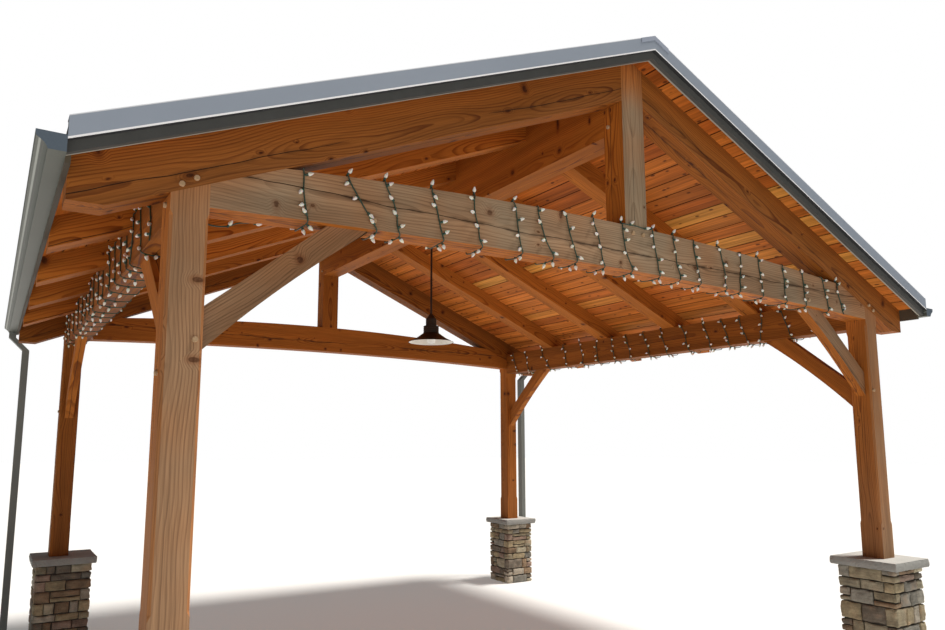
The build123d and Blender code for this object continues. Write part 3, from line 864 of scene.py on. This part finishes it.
def wind(turns, near, depth, under, over):
    """Points of a cord round a timber, (along, across, z), and each bulb's place and direction."""
    points, bulbs = [], []

    def face_run(level, out, start, stop):
        (u0, z0), (u1, z1) = start, stop
        lean = swing(cord_lean)
        for share in face_shares:
            inside = 0 < share < 1
            sway = swing(cord_sway) + lean * sin(pi * share) if inside else 0.0
            u, z = u0 + (u1 - u0) * share + sway, z0 + (z1 - z0) * share
            points.append((u, level + out * (cord_off_middle if inside else cord_off), z))
            if inside:
                tilt = random.choice((-1, 1)) * random.uniform(*bulb_tilt)
                bulbs.append(((u, level + out * bulb_off, z),
                              (tilt, out * bulb_out, swing(bulb_nod))))

    for i, (top, low) in enumerate(turns):
        bottom_z = under(low) - cord_off
        face_run(near, -1, (top, over(top) + cord_off), (low, bottom_z))
        if i + 1 < len(turns):
            following = turns[i + 1][0]
            top_z = over(following)
            for share in under_shares:
                points.append((low + swing(cord_stray), near + depth * share,
                               bottom_z - cord_droop * sin(pi * share)))
            for share in bulb_shares:
                bulbs.append(((low, near + depth * share, under(low) - bulb_under),
                              (swing(1), random.uniform(-0.7, 0.3), -0.8)))
            face_run(near + depth, 1, (low, bottom_z), (following, top_z + cord_off))
            for share in reversed(under_shares):
                points.append((following, near + depth * share, top_z + cord_off * 0.8))
            if random.random() < top_bulb_chance:
                bulbs.append(((following, near + 0.01, top_z + bulb_over),
                              (swing(0.6), -0.4, 0.7)))
    return points, bulbs


def make_string(name, turns, to_world, near, depth, under, over, cord, bulb, loose=()):
    """Cord round a timber, `loose` runs beside it, and bulbs on the upright faces and below."""
    random.seed(f"string {name}")
    points, bulbs = wind(turns, near, depth, under, over)
    curve = bpy.data.curves.new(f"cord_{name}", "CURVE")
    curve.dimensions = "3D"
    curve.bevel_depth = cord_radius
    curve.bevel_resolution = 1
    for run in (points, *loose):
        add_spline(curve, [to_world(*point) for point in run])
    for run in loose:
        for place in run[1:-1:2]:
            bulbs.append((place, (swing(0.5), -0.4, random.uniform(-1.0, 0.6))))
    wire = add_object(f"cord_{name}", curve)
    curve.materials.append(cord)
    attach(wire, "root")
    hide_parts(f"light_string_{name}")
    glass, sockets = bmesh.new(), bmesh.new()
    for place, direction in bulbs:
        place, direction = to_world(*place), to_world(*direction)
        prism(sockets, round_rings(place, direction, socket_profile, socket_sides))
        prism(glass, round_rings(place, direction, bulb_profile, bulb_sides))
    finish_piece(f"bulbs_{name}", glass, bulb)
    finish_piece(f"bulb_sockets_{name}", sockets, cord)


def make_strings():
    cord = Look("green_cord").finish(cord_colour, 0.5)
    bulb = Look("frosted_bulb").finish(bulb_colour, 0.25, Subsurface_Weight=0.3,
                                       Subsurface_Scale=0.01)
    low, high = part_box("tie_front")
    reach = high[0]

    def arc(x, end_z, camber):
        radius = (reach ** 2 + camber ** 2) / (2 * camber)
        return end_z + camber - radius + sqrt(radius ** 2 - x ** 2)

    def tie_under(x):
        return arc(x, low[2], tie_under_camber)

    def tie_over(x):
        return arc(x, high[2] - tie_top_camber, tie_top_camber)

    on_tie = [(top / 1000, bottom / 1000) for top, bottom in tie_turns]
    on_plate = [(rafter_lines[line] + top / 1000, rafter_lines[line] + bottom / 1000)
                for line, top, bottom in plate_turns]
    behind = high[1] + cord_off
    start, stop = on_tie[0][1], -inner_face
    to_post = [(start + x, behind, tie_under(start) + z) for x, z in loose_from_turn]
    to_post += [(stop + x, behind, tie_under(start) + z) for x, z in loose_at_post]
    past_king = [(x, low[1] - cord_off * 0.6, tie_over(0.0) + z) for x, z in loose_past_king_post]
    make_string("tie", on_tie, lambda u, d, z: (u, d, z), low[1], high[1] - low[1], tie_under,
                tie_over, cord, bulb, (to_post, past_king))
    for name, near in (("left", -half_width), ("right", inner_face)):
        make_string(name, on_plate, lambda u, d, z: (d, u, z), near, post_side,
                    lambda y: plate_low, lambda y: plate_high, cord, bulb)


# Metals and painted boards on the CAD nodes; heights are square to the slope, over the deck's
# underside
trim_hem = (-0.0050, -0.0035)
trim_top = (0.069, 0.071)
trim_dark, trim_light = (0.255, 0.295, 0.36), (0.32, 0.365, 0.44)
# Painted highlights on the trim's hem and upper arris, and painted shade on its downward faces
trim_hem_painted_highlight, trim_top_painted_highlight = (0.93, 0.93, 0.95), (0.70, 0.72, 0.76)
trim_underside_painted_shade = (0.03, 0.03, 0.033)
trim_roughness, trim_relief, board_paint_roughness, board_paint_relief = 0.42, 0.003, 0.7, 0.001
facing_down = (-0.4, -0.6)
gutter_colour, gutter_painted_highlight = (0.098, 0.106, 0.091), (0.36, 0.38, 0.35)
# Depths below the rim of the rolls, each drawn as a painted highlight with painted shade below it
gutter_rolls = ((0.0, 0.007), (0.030, 0.036))
gutter_painted_highlight_fade, gutter_painted_shade_fade = (0.6, 1.2, 0.85, 0.0), (0.4, 1.3, 0.6, 0.0)
gutter_cap_dark, gutter_cap_light = (0.080, 0.105, 0.135), (0.105, 0.135, 0.170)
# Rake boards: dark paint that also stands for painted shade under the trim, with a painted highlight
# on the underside but for its outer edge; fascias: painted shade underneath
rake_dark_paint_and_painted_shade, rake_underside_painted_highlight = (0.066, 0.067, 0.064), (0.34, 0.32, 0.27)
rake_highlight_inset = 0.027
fascia_colour, fascia_underside_painted_shade = (0.085, 0.065, 0.040), (0.045, 0.033, 0.019)
anywhere = 9.0
metal_shine, metal_relief, metal_bump = 0.3, 0.0008, 0.3
metal_cloud, metal_dust, gutter_speckle = (3.0, 4.0, 0.6), (30.0, 3.0, 0.6), (260.0, 3.0, 0.6)
trim_cloud, board_cloud = (1.5, 4.0, 0.6), (9.0, 4.0, 0.6)


def toned(colour, factor):
    return [c * factor for c in colour]


def make_metal(name, colour, roughness, metallic=0.0, speckle=0.04):
    sh = Look(name)
    place = sh.place()
    cloud = sh.noise(place, *metal_cloud)
    dust = sh.noise(sh.scaled(place, (1.0, 1.0, 0.25)), *metal_dust)
    painted = sh.mix(cloud, toned(colour, 1 - 2 * speckle), toned(colour, 1 + 2 * speckle))
    dusty = sh.fade(dust, 0.3, 0.7, roughness - 0.04, roughness + 0.05)
    return sh.finish(painted, dusty, cloud, metal_relief, metal_bump, metal_shine,
                     Metallic=metallic)


def make_trim_paint():
    """Grey sheet with a painted highlight on its folded hem and upper arris, and painted shade where
    it faces down.
    """
    sh = Look("trim_paint")
    place = sh.place()
    above = sh.calc("SUBTRACT", levelled(sh, sh.xyz(place)), ridge_z)
    height = sh.product(above, cos(pitch))
    cloud = sh.noise(place, *trim_cloud)
    colour = sh.mix(cloud, trim_dark, trim_light)
    # Painted highlight on the hem, then on the upper arris; painted shade where the sheet faces down
    colour = sh.mix(sh.fade(height, *trim_hem, 1.0, 0.0), colour, trim_hem_painted_highlight)
    colour = sh.mix(sh.fade(height, *trim_top), colour, trim_top_painted_highlight)
    colour = sh.mix(sh.fade(sh.normal()[2], *facing_down), colour, trim_underside_painted_shade)
    return sh.finish(colour, trim_roughness, cloud, trim_relief, metal_bump)


def make_board_paint(name, colour, under, reach):
    """Dark painted board; its downward faces nearer the middle than `reach` along Y take `under`,
    painted light or shade.
    """
    sh = Look(name)
    place = sh.place()
    cloud = sh.noise(place, *board_cloud)
    along = sh.calc("ABSOLUTE", sh.xyz(place)[1])
    # Mask of the downward faces inward of `reach`, where `under` paints light or shade
    painted_light_mask = sh.product(sh.fade(sh.normal()[2], *facing_down),
                     sh.fade(along, reach - 0.001, reach + 0.001, 1.0, 0.0))
    painted = sh.mix(painted_light_mask, sh.mix(cloud, toned(colour, 0.8), toned(colour, 1.2)), under)
    return sh.finish(painted, board_paint_roughness, cloud, board_paint_relief)


def make_gutter_paint():
    """Painted sheet with bluish end caps; the rolled rim and the ogee are painted highlights by the
    depth below the rim, each with painted shade below it.
    """
    sh = Look("gutter_paint")
    place = sh.place()
    below = sh.calc("SUBTRACT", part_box("gutter_left")[1][2], sh.xyz(place)[2])
    speckle = sh.noise(place, *gutter_speckle)
    painted = sh.mix(speckle, toned(gutter_colour, 0.85), toned(gutter_colour, 1.15))

    def near(level, half):
        off = sh.calc("ABSOLUTE", sh.calc("SUBTRACT", below, level))
        return sh.calc("DIVIDE", off, half)

    # Painted highlight on each roll, and painted shade just below it
    for low, high in gutter_rolls:
        half = (high - low) / 2
        painted_light_mask, dark = near((low + high) / 2, half), near(high + half, half)
        painted = sh.mix(sh.fade(painted_light_mask, *gutter_painted_highlight_fade), painted, gutter_painted_highlight)
        painted = sh.mix(sh.fade(dark, *gutter_painted_shade_fade), painted, toned(gutter_colour, 0.35))
    front = sh.calc("ABSOLUTE", sh.normal()[1])
    cap = sh.mix(speckle, gutter_cap_dark, gutter_cap_light)
    painted = sh.mix(sh.fade(front, 0.8, 0.9), painted, cap)
    return sh.finish(painted, 0.45, speckle, 0.0002, shine=metal_shine)


def dress_edges():
    dress(make_trim_paint(), "rake_trims_left", "rake_trims_right")
    dress(make_metal("ridge_paint", (0.34, 0.38, 0.47), 0.4), "ridge_cap")
    dress(make_metal("roof_paint", (0.16, 0.17, 0.18), 0.4), "roof_sheet_left", "roof_sheet_right")
    dress(make_gutter_paint(), "gutter_left", "gutter_right")
    dress(make_metal("downspout_paint", (0.20, 0.215, 0.20), 0.45), "downspouts")
    board_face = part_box("rake_boards_left")[1][1]
    dress(make_board_paint("rake_paint", rake_dark_paint_and_painted_shade, rake_underside_painted_highlight, board_face - rake_highlight_inset),
          "rake_boards_left", "rake_boards_right")
    dress(make_board_paint("fascia_paint", fascia_colour, fascia_underside_painted_shade, anywhere), "eave_fascias")


# Pendant lamp: bronze shade, enamel inside, frosted bulb. Heights are over the shade's rim
lamp_sides = 64
glass_colour = (0.85, 0.84, 0.80, 1.0)
rib_places = ((0.088, 0.0705), (0.106, 0.0700), (0.122, 0.0700), (0.142, 0.0700), (0.1545, 0.0500))
rib_section = ((-0.004, -0.003), (0.0, -0.0015), (0.0, 0.0015), (-0.004, 0.003), (-0.004, -0.003))
lining_lip = (-0.0045, 0.0005)
lining_profile = ((0.1325, 0.0335), (0.0645, 0.082), (0.0640, 0.117), (0.016, 0.1175))


def make_lamp():
    bronze = make_metal("bronze", (0.026, 0.014, 0.009), 0.45, 0.2, 0.12)
    enamel = make_metal("white_enamel", (0.80, 0.76, 0.68), 0.3, 0.0, 0.02)
    dress(bronze, "pendant_rod", "pendant_shade")
    low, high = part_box("pendant_shade")
    rim, reach = low[2], high[0]
    ribs = bmesh.new()
    for z, radius in rib_places:
        lathe(ribs, [(radius + out, rim + z + up) for out, up in rib_section], lamp_sides)
    finish_piece("shade_ribs", ribs, bronze)
    build = bmesh.new()
    lip = (reach + lining_lip[0], rim + lining_lip[1])
    lathe(build, [lip] + [(radius, rim + z) for radius, z in lining_profile], lamp_sides)
    mesh = finish_mesh("shade_lining", build)
    for face in mesh.polygons:
        if face.normal.z > 0:
            face.flip()
    mesh.shade_smooth()
    new_piece("shade_lining", mesh, enamel)
    dress(Look("bulb_glass").finish(glass_colour, 0.2), "pendant_bulb")


# Floor, light and camera
floor_size = 60.0
floor_colour = (0.74, 0.73, 0.71, 1.0)
floor_glow_colour, floor_glow = (1.0, 0.98, 0.95, 1.0), 0.20
backdrop_colour = (1.0, 1.0, 1.0, 1.0)
studio_colour, studio_strength = (0.93, 0.96, 1.0, 1.0), 0.14
sun_colour, sun_strength, sun_angle = (1.0, 0.97, 0.92), 4.2, 0.22
sun_from = (0.40, -0.15, 0.906)


def make_stage():
    build = bmesh.new()
    bmesh.ops.create_grid(build, x_segments=1, y_segments=1, size=floor_size)
    mesh = finish_mesh("floor", build)
    floor = add_object("floor", mesh)
    mesh.materials.append(Look("floor").finish(
        floor_colour, 0.9, Emission_Color=floor_glow_colour, Emission_Strength=floor_glow))

    world = bpy.data.worlds.new("studio")
    bpy.context.scene.world = world
    world.use_nodes = True
    sh = Nodes(world.node_tree)
    background = sh.tree.nodes["Background"]
    sh.plug(background, {"Color": studio_colour, "Strength": studio_strength})
    seen = sh.node("Background", {"Color": backdrop_colour}).outputs[0]
    camera_ray = sh.node("LightPath").outputs["Is Camera Ray"]
    both = sh.node("MixShader", {0: camera_ray, 1: background.outputs[0], 2: seen})
    sh.plug(sh.tree.nodes["World Output"], {"Surface": both.outputs[0]})


def make_lights():
    sun = bpy.data.lights.new("key", "SUN")
    sun.energy = sun_strength
    sun.angle = sun_angle
    sun.color = sun_colour
    key = add_object("key", sun)
    key.rotation_euler = Vector(sun_from).to_track_quat("Z", "Y").to_euler()


def make_camera():
    camera = add_object("camera", bpy.data.cameras.new("camera"))
    camera.data.lens = focal_pixels / photo_width * camera.data.sensor_width
    camera.data.shift_x = -centre_offset[0] / photo_width
    camera.data.shift_y = centre_offset[1] / photo_width
    camera.location = camera_place
    aim = Matrix.Rotation(-camera_turn, 4, "Z") @ Matrix.Rotation(pi / 2 + camera_rise, 4, "X")
    camera.rotation_euler = (aim @ Matrix.Rotation(camera_roll, 4, "Z")).to_euler()
    bpy.context.scene.camera = camera
    bpy.context.scene.view_settings.view_transform = "Standard"


make_camera()
make_stage()
make_lights()
dress_timbers()
make_deck_boards()
make_piers()
make_caps()
make_pegs()
make_strings()
dress_edges()
make_lamp()
